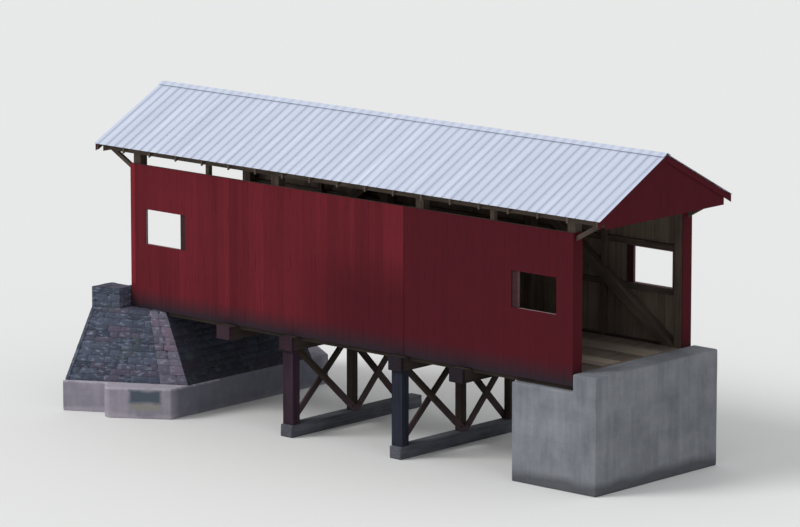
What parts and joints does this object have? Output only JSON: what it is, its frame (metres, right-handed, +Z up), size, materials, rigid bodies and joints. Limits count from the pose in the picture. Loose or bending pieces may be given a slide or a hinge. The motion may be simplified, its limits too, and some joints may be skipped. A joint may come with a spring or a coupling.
{
  "type": "covered bridge",
  "caption": "Short timber covered bridge with boarded red side walls, queenpost trusses and a ribbed steel roof, on a stone and a concrete abutment with timber bents between.",
  "frame": {"origin": "centre of the object's footprint box, at the level of the stream where the footings and sills stand", "axes": "+X along the bridge from the stone abutment to the concrete one, +Y across it to the far side, +Z up"},
  "size_m": [17.0688, 8.14, 8.1848],
  "materials": {
    "weathered_timber": "rough sawn, weathered",
    "painted_boards": "faded red paint on rough boards",
    "roof_steel": "dull galvanised ribbed sheet",
    "abutment_stone": "rough dry-laid rubble",
    "concrete": "cast concrete, board marked",
    "lining_boards": "bare weathered boards"
  },
  "bodies": {
    "root": {"bed_timbers": "weathered_timber", "bent_bracing_planks": "weathered_timber", "bent_caps": "weathered_timber", "bent_posts": "weathered_timber", "bent_sills": "weathered_timber", "bottom_chord_far": "weathered_timber", "bottom_chord_near": "weathered_timber", "cross_ties": "weathered_timber", "deck": "weathered_timber", "east_abutment": "concrete", "eave_plate_far": "weathered_timber", "eave_plate_near": "weathered_timber", "floor_beams": "weathered_timber", "gable_east": "painted_boards", "gable_west": "painted_boards", "girts_far": "weathered_timber", "girts_near": "weathered_timber", "overhang_braces": "weathered_timber", "portal_jamb_boards": "painted_boards", "purlins_far": "weathered_timber", "purlins_near": "weathered_timber", "rafters_far": "weathered_timber", "rafters_near": "weathered_timber", "rake_boards": "painted_boards", "ridge_board": "weathered_timber", "ridge_cap": "roof_steel", "roof_sheets_far": "roof_steel", "roof_sheets_near": "roof_steel", "runner_planks": "weathered_timber", "siding_far": "painted_boards", "siding_near": "painted_boards", "straining_beam_far": "weathered_timber", "straining_beam_near": "weathered_timber", "stringers": "weathered_timber", "truss_braces_far": "weathered_timber", "truss_braces_near": "weathered_timber", "truss_posts_far": "weathered_timber", "truss_posts_near": "weathered_timber", "west_abutment": "abutment_stone", "west_footing": "concrete", "west_wing_far": "abutment_stone", "west_wing_near": "abutment_stone", "window_linings_far": "lining_boards", "window_linings_near": "lining_boards"}
  },
  "joints": []
}
